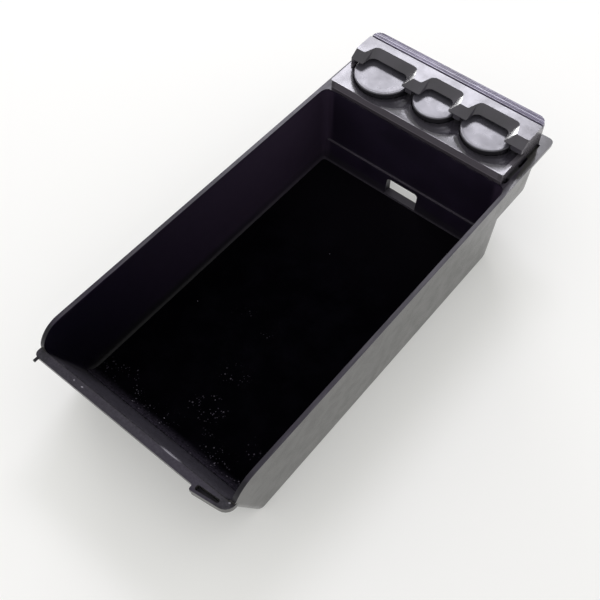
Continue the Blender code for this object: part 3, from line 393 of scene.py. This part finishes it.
mat_low, mat_high = (Vector(corner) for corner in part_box("floor_mat"))
mat_half = (mat_high.x - mat_low.x) / 2
cove_length = COVE_RADIUS * math.radians(COVE_TURN)
cove_y = mat_low.y - COVE_START
mat_length = mat_high.y - cove_y + cove_length + MAT_ON_RAMP


def mat_path(along):
    """Place on the mat's upper face, by the length of mat from its back edge."""
    flat = mat_high.y - cove_y
    if along <= flat:
        return mat_high.y - along, mat_high.z
    angle = min((along - flat) / COVE_RADIUS, math.radians(COVE_TURN))
    rest = max(along - flat - cove_length, 0)
    y = cove_y - COVE_RADIUS * math.sin(angle) - rest * math.cos(angle)
    z = mat_high.z + COVE_RADIUS * (1 - math.cos(angle)) + rest * math.sin(angle)
    return y, z


def corner_inset(distance, radius):
    """How far a rounded corner stands in from the side, at a distance from the end."""
    return radius - math.sqrt(radius ** 2 - (radius - distance) ** 2) if distance < radius else 0


edit = bmesh.new()
rows = []
for row in range(MAT_ROWS + 1):
    share = (1 - math.cos(math.pi * row / MAT_ROWS)) / 2  # closer rows towards both ends
    along = mat_length * share
    inset = max(corner_inset(along, MAT_BACK_CORNER), corner_inset(mat_length - along, MAT_CORNER))
    y, z = mat_path(along)
    half = mat_half - inset
    rows.append([edit.verts.new((half * (2 * column / MAT_COLUMNS - 1), y, z))
                 for column in range(MAT_COLUMNS + 1)])
for first, second in zip(rows, rows[1:]):
    for column in range(MAT_COLUMNS):
        edit.faces.new((first[column], second[column], second[column + 1], first[column + 1]))
mesh = bpy.data.meshes.new("floor_mat_flocked")
edit.to_mesh(mesh)
edit.free()
mesh.shade_smooth()
mat = bpy.data.objects.new("floor_mat_flocked", mesh)
bpy.context.scene.collection.objects.link(mat)
body = mat.modifiers.new("mat thickness", "SOLIDIFY")
body.thickness = MAT_THICKNESS
body.offset = -1
edge = mat.modifiers.new("cut edge", "BEVEL")
edge.width = MAT_EDGE
edge.segments = 3
edge.limit_method = "ANGLE"
edge.angle_limit = math.radians(CUT_ANGLE)
edge.harden_normals = True
FLOCK_BLACK = (0.0008, 0.0007, 0.0013)
DARK_PILE = (0.0005, 0.0004, 0.0009)
PALE_PILE = (0.0014, 0.0012, 0.0022)
REAR_PILE = (0.0034, 0.0028, 0.0044)
TURNED_UP_DUST = (0.032, 0.028, 0.040)
LINT_GREY = (0.11, 0.10, 0.12)
FINE_LINT_GREY = (0.045, 0.040, 0.052)
FIBRE_SCALE = 2600
FIBRE_DEPTH = 0.12 * MM
PILE_SCALE = 90
LINT_DRIFT_SCALE = 60
DUSTY_SCALE = 700
LINT_LEAN = 5 * MM  # of a patch of lint, from its left end to its right end
flock, tree, shader = new_material("black_flock", FLOCK_BLACK, 0.95, gloss=0.01)
vector = place_on(tree)
along = axis_place(tree, vector, "Y")
bumped(tree, shader, noise(tree, vector, FIBRE_SCALE, 2, 0.7), 0.5, FIBRE_DEPTH)
pile = mixed(tree, ramp(tree, noise(tree, vector, PILE_SCALE, 4, 0.6), 0.35, 0.75), DARK_PILE, PALE_PILE)
# The mat's tone grows paler towards the rear.
pile = mixed(tree, ramp(tree, along, 0, mat_high.y), pile, REAR_PILE)
turned_up = ramp(tree, along, mat_low.y - 8 * MM, mat_low.y - 2 * MM, 1.0, 0.0)
dusty = ramp(tree, noise(tree, vector, DUSTY_SCALE, 4, 0.7), 0.34, 0.62, 0.3, 1.0)
pile = mixed(tree, product(tree, turned_up, dusty), pile, TURNED_UP_DUST)

lint_patches = [(-8, -28, 12, 8), (2, -51, 9, 7), (3, -70, 10, 8),
                (-31, -80, 9, 6), (26, -71, 8, 9)]  # x, y, half length and half width in mm
patches = ramp(tree, along, mat_low.y - 1 * MM, mat_low.y + 7 * MM, 1.0, 0.0)
for x, y, half_length, half_width in lint_patches:
    start, end = ((x + side * half_length) * MM for side in (-1, 1))
    patch = mark(tree, vector, (start, y * MM, mat_high.z), (end, y * MM + LINT_LEAN, mat_high.z),
                 half_width * MM)
    patches = math_of(tree, "MAXIMUM", patches, patch)
drifts = ramp(tree, noise(tree, vector, LINT_DRIFT_SCALE, 3, 0.6), 0.44, 0.60)
fine_lint = product(tree, specks(tree, vector, 0.85 * MM, 0.36, 0.22), patches, drifts)
pile = mixed(tree, fine_lint, pile, FINE_LINT_GREY)
lint = product(tree, specks(tree, vector, 1.5 * MM, 0.27, 0.40), patches, drifts)
pile = mixed(tree, lint, pile, LINT_GREY)
pile = mixed(tree, specks(tree, vector, 7.0 * MM, 0.045, 0.20), pile, LINT_GREY)
tree.links.new(pile, shader.inputs["Base Color"])
mat.data.materials.append(flock)
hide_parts("floor_mat")
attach(mat, "tray")

# Coin housing
# The holder's lower moulding, in a smoother black than the bin: a plate with three shallow dishes round
# the coin plates, and three cups and four screw posts below. Its side walls snap under the tray's deck.
HOUSING_EDGE = 0.3 * MM
HOUSING_EDGE_ANGLE = 38

housing = welded_copy("coin_housing", "coin_housing_moulding")
soften_edges(housing, HOUSING_EDGE, HOUSING_EDGE_ANGLE)
HOLDER_BLACK = (0.020, 0.018, 0.024)
FRONT_LIT_GREY = (0.122, 0.110, 0.130)
LOW_SHADE_GREY = (0.048, 0.042, 0.052)
LINE_HIGHLIGHT_GREY = (0.19, 0.175, 0.20)
HOLDER_END_SHEEN_GREY = (0.085, 0.078, 0.090)
HOLDER_SPECK_GREY = (0.16, 0.15, 0.17)
HIGHLIGHT_LINE_RISE = 2.1 * MM  # of the painted highlight line on the front, above the tray's rim
LINE_SOFT = 0.2 * MM
holder_plastic, tree, shader, vector, tone = grained_plastic("holder_plastic", HOLDER_BLACK, 0.21,
                                                             0.35 * MM, 0.03, 1.0)
# Painted light on the front face: a pale band, a paler painted highlight line just above the tray's rim,
# and painted shade below that line.
housing_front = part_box("coin_housing")[0][1]
highlight_line = rim_height + HIGHLIGHT_LINE_RISE
height = axis_place(tree, vector, "Z")
over_line = ramp(tree, height, highlight_line - LINE_SOFT, highlight_line)
on_line = product(tree, over_line,
                  ramp(tree, height, highlight_line + LINE_SOFT, highlight_line + 2 * LINE_SOFT, 1.0, 0.0))
band = mixed(tree, on_line, mixed(tree, over_line, LOW_SHADE_GREY, FRONT_LIT_GREY), LINE_HIGHLIGHT_GREY)
on_front_face = ramp(tree, axis_place(tree, vector, "Y"), housing_front, housing_front + 0.6 * MM,
                    1.0, 0.0)
tone = mixed(tree, on_front_face, tone, band)
# Painted sheen on the holder's two end faces, fading out towards the bottom.
holder_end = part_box("coin_housing")[1][0]
end_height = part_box("coin_housing")[1][2]
across = math_of(tree, "ABSOLUTE", axis_place(tree, vector, "X"), 0)
holder_end_sheen = product(tree, ramp(tree, across, holder_end - 4.5 * MM, holder_end - 4.3 * MM),
                     ramp(tree, height, end_height - 7 * MM, end_height - 0.5 * MM))
tone = mixed(tree, holder_end_sheen, tone, HOLDER_END_SHEEN_GREY)
tone = mixed(tree, specks(tree, vector, 2.6 * MM, 0.05, 0.10), tone, HOLDER_SPECK_GREY)
tree.links.new(tone, shader.inputs["Base Color"])
housing.data.materials.append(holder_plastic)
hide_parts("coin_housing")
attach(housing, "tray")

# Cup cover
# The plate that closes the three cups from below, moulded in the same black plastic as the housing. Its
# spigots centre the springs, and two short and two long screws hold it.
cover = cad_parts["cup_cover"]
cover.data.materials.clear()
cover.data.materials.append(holder_plastic)

# Plate springs
# One coil of drawn steel wire under each coin plate, with closed ends. It stands on its spigot; the plate
# squeezes the real spring, but here it is one rigid coil that goes with the tray.
SPRING_WIRE_SHARE = 0.052  # of the spring's width
SPRING_TURNS = 6
TURN_STEPS = 28
CLOSED_RISE = 2.4  # of an end turn, in wire radii

STEEL_GREY = (0.46, 0.46, 0.48)
STEEL_DARK = (0.32, 0.31, 0.31)
DRAWN_SCALE = 700
STAIN_SCALE = 160
steel, tree, shader = new_material("spring_wire", STEEL_GREY, 0.3, 1.0)
vector = place_on(tree)
drawn = noise(tree, place_on(tree, (1, 1, 9)), DRAWN_SCALE, 3, 0.6)
tree.links.new(ramp(tree, drawn, 0.3, 0.7, 0.24, 0.40), shader.inputs["Roughness"])
stains = ramp(tree, noise(tree, vector, STAIN_SCALE, 3, 0.6), 0.4, 0.7)
tone = mixed(tree, stains, STEEL_GREY, STEEL_DARK)
tree.links.new(tone, shader.inputs["Base Color"])
bumped(tree, shader, drawn, 0.1, 0.02 * MM)

plate_sizes = ("large", "small", "medium")
for size in plate_sizes:
    low, high = (Vector(corner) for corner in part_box("spring_" + size))
    plate_low, plate_high = (Vector(corner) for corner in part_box("coin_plate_" + size))
    centre = (plate_low + plate_high) / 2
    wire = (high.x - low.x) * SPRING_WIRE_SHARE / 2
    radius = (high.x - low.x) / 2 - wire
    curve = bpy.data.curves.new("plate_spring_" + size, "CURVE")
    curve.dimensions = "3D"
    curve.bevel_depth = wire
    curve.bevel_resolution = 3
    curve.use_fill_caps = True
    spline = curve.splines.new("POLY")
    count = SPRING_TURNS * TURN_STEPS
    spline.points.add(count)
    foot = low.z + wire
    top = high.z - wire
    closed_rise = CLOSED_RISE * wire
    open_rise = (top - foot - 2 * closed_rise) / (SPRING_TURNS - 2)
    for index, point in enumerate(spline.points):
        turn = index / TURN_STEPS
        opened = min(max(turn - 1, 0), SPRING_TURNS - 2)
        z = foot + opened * open_rise + (turn - opened) * closed_rise
        angle = 2 * math.pi * turn
        point.co = (centre.x + radius * math.cos(angle), centre.y + radius * math.sin(angle), z, 1)
    coil = bpy.data.objects.new("plate_spring_" + size, curve)
    bpy.context.scene.collection.objects.link(coil)
    bpy.context.view_layer.update()
    graph = bpy.context.evaluated_depsgraph_get()
    mesh = bpy.data.meshes.new_from_object(coil.evaluated_get(graph))
    bpy.data.objects.remove(coil, do_unlink=True)
    mesh.shade_smooth()
    mesh.materials.clear()
    mesh.materials.append(steel)
    coil = bpy.data.objects.new("plate_spring_" + size, mesh)
    bpy.context.scene.collection.objects.link(coil)
    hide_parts("spring_" + size)
    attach(coil, "tray")
    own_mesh(coil)

# Coin plates
# Three turned-looking mouldings that the coins press down. Each has a rounded raised edge round a
# slightly dished face, a flange that stops it under the housing, and a hollow for its spring. Coins
# have polished the faces and left fine scratches.
PLATE_STEPS = 128
PLATE_ROUND = 0.55 * MM
PLATE_BEAD = 1.1 * MM  # width of the raised edge
BEAD_RISE = 0.07 * MM
BEAD_STEPS = 6
ROUND_STEPS = 8
PLATE_SHARP = 38  # degrees, above which an edge stays sharp

PLATE_GREY = (0.062, 0.060, 0.074)
PLATE_SIDE_SHADE_BLACK = (0.010, 0.009, 0.013)
SCRATCH_GREY = (0.14, 0.14, 0.16)
PLATE_SPECK_GREY = (0.22, 0.21, 0.23)
SCRATCH_SCALE = 1500
plate_plastic, tree, shader, vector, tone = grained_plastic("plate_plastic", PLATE_GREY, 0.28,
                                                            0.3 * MM, 0.04, 1.0)
scratches = noise(tree, place_on(tree, (0.12, 1, 1)), SCRATCH_SCALE, 2, 0.8, 0.3)
scratches = ramp(tree, scratches, 0.62, 0.70, 0.0, 0.35)
tone = mixed(tree, scratches, tone, SCRATCH_GREY)
tone = mixed(tree, specks(tree, vector, 2.2 * MM, 0.06, 0.12), tone, PLATE_SPECK_GREY)
# Painted shade: each plate's side below the round is painted near-black; the round and the face keep the
# plate's grey.
plate_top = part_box("coin_plate_large")[1][2]
above_side_shade = ramp(tree, axis_place(tree, vector, "Z"), plate_top - 0.65 * MM, plate_top - 0.25 * MM)
tone = mixed(tree, above_side_shade, PLATE_SIDE_SHADE_BLACK, tone)
tree.links.new(tone, shader.inputs["Base Color"])


def arc_points(centre, radius, start, end, steps):
    """Points of an arc, from one angle to another in degrees."""
    points = []
    for step in range(steps + 1):
        angle = math.radians(start + (end - start) * step / steps)
        points.append((centre[0] + radius * math.cos(angle), centre[1] + radius * math.sin(angle)))
    return points


def turned(name, profile, centre, steps):
    """A profile of (radius, height) points, turned about an upright axis."""
    mesh = bpy.data.meshes.new(name)
    edges = [(index, index + 1) for index in range(len(profile) - 1)]
    mesh.from_pydata([(radius, 0, height) for radius, height in profile], edges, [])
    source = bpy.data.objects.new(name, mesh)
    bpy.context.scene.collection.objects.link(source)
    spin = source.modifiers.new("turn", "SCREW")
    spin.steps = steps
    spin.render_steps = steps
    spin.use_merge_vertices = True
    spin.merge_threshold = MERGE / 2
    bpy.context.view_layer.update()
    graph = bpy.context.evaluated_depsgraph_get()
    result = bpy.data.meshes.new_from_object(source.evaluated_get(graph))
    bpy.data.objects.remove(source, do_unlink=True)
    edit = bmesh.new()
    edit.from_mesh(result)
    bmesh.ops.remove_doubles(edit, verts=edit.verts, dist=MERGE / 2)
    bmesh.ops.recalc_face_normals(edit, faces=edit.faces)
    bmesh.ops.translate(edit, verts=edit.verts, vec=(centre[0], centre[1], 0))
    edit.to_mesh(result)
    edit.free()
    result.shade_smooth()
    result.set_sharp_from_angle(angle=math.radians(PLATE_SHARP))
    piece = bpy.data.objects.new(name, result)
    bpy.context.scene.collection.objects.link(piece)
    return piece


FLANGE_REACH = 0.9 * MM
FLANGE_HEIGHT = 1.2 * MM
FLANGE_CHAMFER = 0.15 * MM
FOOT_CHAMFER = 0.1 * MM
HOLLOW_SHARE = 0.5
HOLLOW_ROOM = 0.95 * MM
HOLLOW_ROOF = 2.4 * MM  # from the plate's top down to the spring's seat
for size in plate_sizes:
    low, high = (Vector(corner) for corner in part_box("coin_plate_" + size))
    centre = ((low.x + high.x) / 2, (low.y + high.y) / 2)
    flange = (high.x - low.x) / 2
    radius = flange - FLANGE_REACH
    face = high.z - BEAD_RISE
    inner = radius - PLATE_ROUND - PLATE_BEAD
    profile = [(0, face), (inner / 2, face)]
    for step in range(BEAD_STEPS + 1):
        share = step / BEAD_STEPS
        rise = BEAD_RISE * (1 - math.cos(math.pi * share)) / 2
        profile.append((inner + PLATE_BEAD * share, face + rise))
    profile += arc_points((radius - PLATE_ROUND, high.z - PLATE_ROUND), PLATE_ROUND, 80, 0, ROUND_STEPS)
    profile += [(radius, low.z + FLANGE_HEIGHT), (flange - FLANGE_CHAMFER, low.z + FLANGE_HEIGHT),
                (flange, low.z + FLANGE_HEIGHT - FLANGE_CHAMFER),
                (flange, low.z + FOOT_CHAMFER), (flange - FOOT_CHAMFER, low.z)]
    hollow = radius * HOLLOW_SHARE + HOLLOW_ROOM
    seat = high.z - HOLLOW_ROOF
    profile += [(hollow, low.z), (hollow, seat), (0, seat)]
    plate = turned("coin_plate_turned_" + size, profile, centre, PLATE_STEPS)
    plate.data.materials.append(plate_plastic)
    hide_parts("coin_plate_" + size)
    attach(plate, size + "_plate")

# Screws
# Zinc-plated self-tapping screws, two short ones into the housing's front posts and two long ones through
# its rear posts into the roof.
ZINC_GREY = (0.42, 0.42, 0.43)
ZINC_TARNISH = (0.34, 0.31, 0.24)
SPANGLE_SCALE = 900
TARNISH_SCALE = 300
zinc, tree, shader = new_material("zinc_plate", ZINC_GREY, 0.35, 1.0)
vector = place_on(tree)
spangle = noise(tree, vector, SPANGLE_SCALE, 3, 0.6)
tree.links.new(ramp(tree, spangle, 0.3, 0.7, 0.28, 0.5), shader.inputs["Roughness"])
tarnish = ramp(tree, noise(tree, vector, TARNISH_SCALE, 3, 0.6), 0.45, 0.7)
tone = mixed(tree, tarnish, ZINC_GREY, ZINC_TARNISH)
tree.links.new(tone, shader.inputs["Base Color"])
for kind in ("cover_screw", "roof_screw"):
    for side in ("left", "right"):
        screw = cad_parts[f"{kind}_{side}"]
        screw.data.materials.clear()
        screw.data.materials.append(zinc)

# Coin roof
# The satin cover over the rear half of the coins, with a finger cut-out at each plate and a sloped
# edge round the cut-outs. Two long screws hold it from below.
ROOF_EDGE = 0.45 * MM
ROOF_EDGE_ANGLE = 12

roof = welded_copy("coin_roof", "coin_roof_moulding")
soften_edges(roof, ROOF_EDGE, ROOF_EDGE_ANGLE)
ROOF_BLACK = (0.036, 0.033, 0.042)
ROOF_END_SHEEN_GREY = (0.115, 0.107, 0.125)
ROOF_SPECK_GREY = (0.2, 0.19, 0.21)
roof_plastic, tree, shader, vector, tone = grained_plastic("roof_plastic", ROOF_BLACK, 0.21,
                                                           0.35 * MM, 0.03, 1.0)
# Painted sheen on the roof's two end faces.
roof_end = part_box("coin_roof")[1][0]
across = math_of(tree, "ABSOLUTE", axis_place(tree, vector, "X"), 0)
roof_end_sheen = ramp(tree, across, roof_end - 0.35 * MM, roof_end - 0.05 * MM)
tone = mixed(tree, roof_end_sheen, tone, ROOF_END_SHEEN_GREY)
tone = mixed(tree, specks(tree, vector, 2.4 * MM, 0.05, 0.10), tone, ROOF_SPECK_GREY)
tree.links.new(tone, shader.inputs["Base Color"])
roof.data.materials.append(roof_plastic)
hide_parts("coin_roof")
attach(roof, "tray")

# Grip strip
# A dark violet-grey strip with fine ribs along its length, pressed onto the ledge at the back of the roof.
RIB_SHARP = 20  # degrees, above which an edge stays sharp
STRIP_VIOLET = (0.135, 0.120, 0.185)

strip = welded_copy("grip_strip", "grip_strip_ribbed")
strip.data.set_sharp_from_angle(angle=math.radians(RIB_SHARP))
rubber = grained_plastic("strip_rubber", STRIP_VIOLET, 0.24, 0.3 * MM, 0.04, 1.0)[0]
strip.data.materials.append(rubber)
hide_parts("grip_strip")
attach(strip, "tray")

# Table, light and camera
# A plain white table top, two soft window lights from the left rear, one high and one low, an even white
# room, and the photograph's own viewpoint.
FLOOR_HALF = 4.0
table_mesh = bpy.data.meshes.new("table_top")
table_mesh.from_pydata([(-FLOOR_HALF, -FLOOR_HALF, 0), (FLOOR_HALF, -FLOOR_HALF, 0),
                        (FLOOR_HALF, FLOOR_HALF, 0), (-FLOOR_HALF, FLOOR_HALF, 0)], [], [(0, 1, 2, 3)])
table = bpy.data.objects.new("table_top", table_mesh)
bpy.context.scene.collection.objects.link(table)
TABLE_GLOW = 0.20  # share of plain white that the camera and the gloss see on the table
TABLE_WHITE = (0.88, 0.88, 0.865)
GLOW_WHITE = (1.0, 1.0, 0.985)
white, tree, shader = new_material("white_table", TABLE_WHITE, 0.8)
glow = tree.nodes.new("ShaderNodeEmission")
glow.inputs["Color"].default_value = (*GLOW_WHITE, 1)
ray = tree.nodes.new("ShaderNodeLightPath")
seen = math_of(tree, "MAXIMUM", ray.outputs["Is Camera Ray"], ray.outputs["Is Glossy Ray"])
seen = math_of(tree, "MAXIMUM", seen, ray.outputs["Is Transmission Ray"])
blend = tree.nodes.new("ShaderNodeMixShader")
tree.links.new(math_of(tree, "MULTIPLY", seen, TABLE_GLOW), blend.inputs["Fac"])
tree.links.new(shader.outputs["BSDF"], blend.inputs[1])
tree.links.new(glow.outputs["Emission"], blend.inputs[2])
tree.links.new(blend.outputs["Shader"], tree.nodes["Material Output"].inputs["Surface"])
table.data.materials.append(white)


def window_light(name, azimuth, elevation, distance, width, height, radiance, colour=(1, 1, 1)):
    """A soft rectangular light that faces the tray. Azimuth turns from the rear towards the left."""
    data = bpy.data.lights.new(name, "AREA")
    data.shape = "RECTANGLE"
    data.size = width
    data.size_y = height
    data.energy = radiance * math.pi * width * height
    data.color = colour
    light = bpy.data.objects.new(name, data)
    bpy.context.scene.collection.objects.link(light)
    around = math.radians(azimuth)
    up = math.radians(elevation)
    towards = Vector((-math.sin(around) * math.cos(up), math.cos(around) * math.cos(up), math.sin(up)))
    light.location = towards * distance
    light.rotation_euler = towards.to_track_quat("Z", "Y").to_euler()
    light.visible_camera = False
    return light


LIGHT_DISTANCE = 1.6
WINDOW_TINT = (0.97, 0.95, 1.06)
window_light("window", 31, 43, LIGHT_DISTANCE, 0.66, 0.32, 9.5, WINDOW_TINT)
window_light("low_window", 50, 8, LIGHT_DISTANCE, 0.70, 0.30, 18)
ROOM_LIGHT = 0.88
ROOM_SHEEN = 0.55
BACKDROP = 0.97
ROOM_WHITE = (1.0, 0.995, 0.98)
world = bpy.data.worlds.new("room")
bpy.context.scene.world = world
world.use_nodes = True
tree = world.node_tree
background = tree.nodes["Background"]
background.inputs["Color"].default_value = (*ROOM_WHITE, 1)
ray = tree.nodes.new("ShaderNodeLightPath")
seen = math_of(tree, "MAXIMUM", ray.outputs["Is Camera Ray"], ray.outputs["Is Transmission Ray"])
strength = math_of(tree, "ADD", ramp(tree, seen, 0, 1, ROOM_LIGHT, BACKDROP),
                   math_of(tree, "MULTIPLY", ray.outputs["Is Glossy Ray"], ROOM_SHEEN - ROOM_LIGHT))
tree.links.new(strength, background.inputs["Strength"])

CAMERA_PLACE = Vector((130.82 * MM, -165.71 * MM, 314.00 * MM))
CAMERA_AZIMUTH = 39.356
CAMERA_ELEVATION = 56.335
CAMERA_LENS = 53.14  # in millimetres, as the camera takes it
CAMERA_SENSOR = 36
NEAREST = 0.01
camera_data = bpy.data.cameras.new("camera")
camera_data.lens = CAMERA_LENS
camera_data.sensor_width = CAMERA_SENSOR
camera_data.clip_start = NEAREST
camera = bpy.data.objects.new("camera", camera_data)
camera.location = CAMERA_PLACE
camera.rotation_euler = (math.radians(90 - CAMERA_ELEVATION), 0, math.radians(CAMERA_AZIMUTH))
bpy.context.scene.collection.objects.link(camera)
bpy.context.scene.camera = camera
bpy.context.scene.view_settings.view_transform = "Standard"
